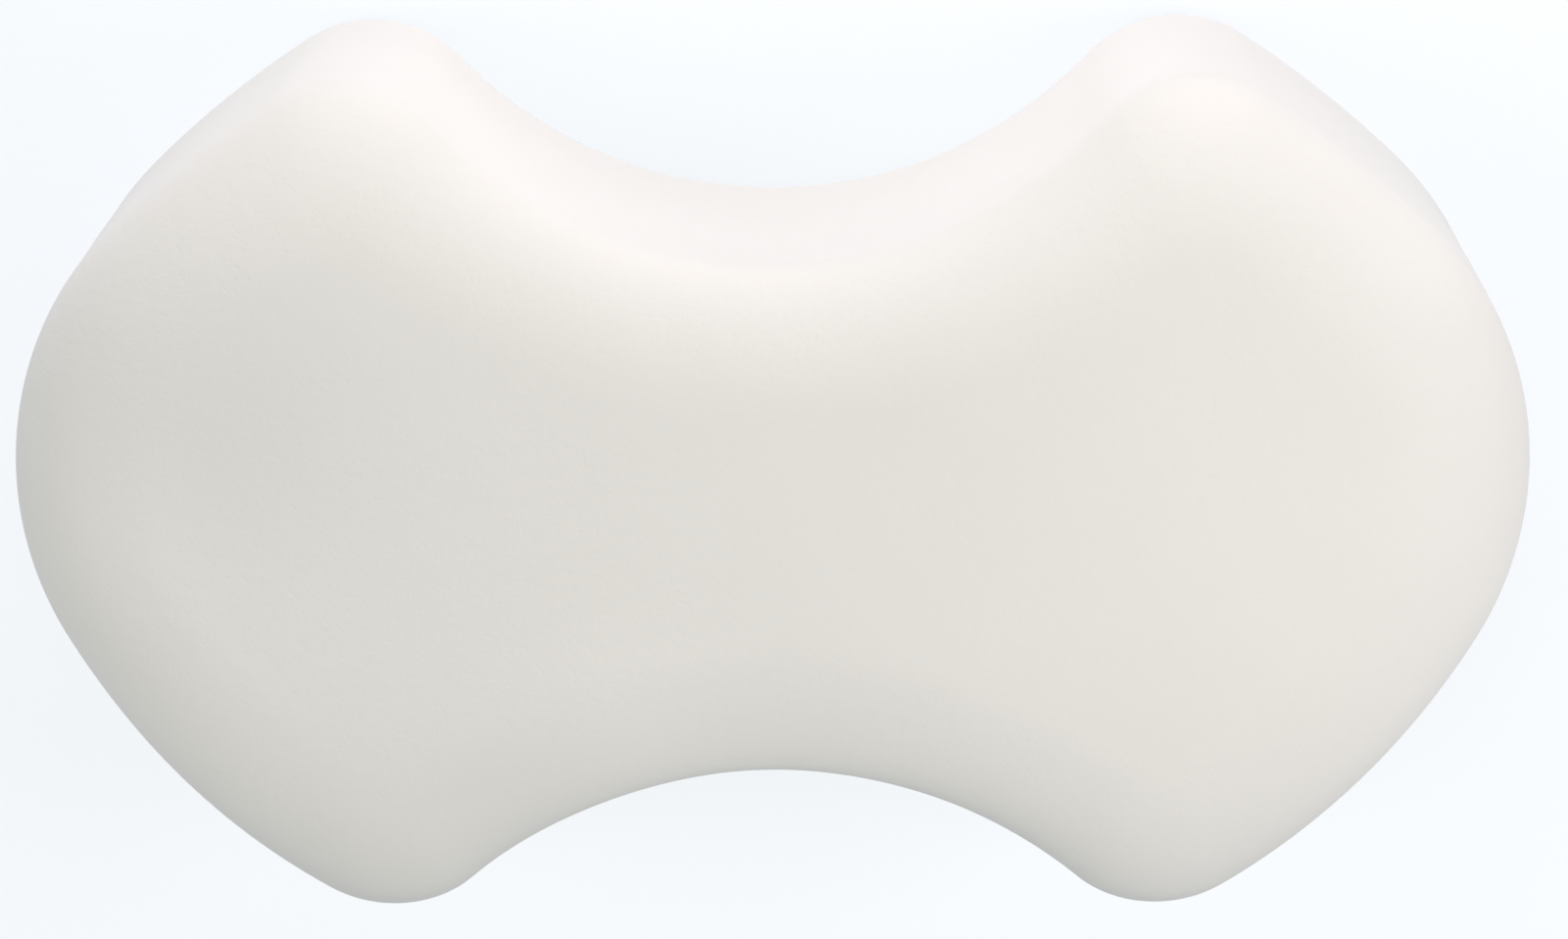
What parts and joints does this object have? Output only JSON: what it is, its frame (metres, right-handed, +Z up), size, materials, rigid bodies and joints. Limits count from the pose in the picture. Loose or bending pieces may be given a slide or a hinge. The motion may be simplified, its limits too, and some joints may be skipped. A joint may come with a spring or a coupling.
{
  "type": "butterfly knee pillow",
  "caption": "Butterfly-shaped foam knee pillow: one moulded block with a rounded hollow for a leg on each long side, lying on its flat back.",
  "frame": {"origin": "under the middle of the block, on the surface that its flat back lies on", "axes": "+X from wing to wing, +Y towards the deeper leg hollow, +Z up through the thickness to the front face"},
  "size_m": [0.35, 0.1982, 0.12],
  "materials": {
    "foam": "bare moulded foam, matt and finely porous, off-white"
  },
  "bodies": {
    "root": {"knee_pillow": "foam"}
  },
  "joints": []
}
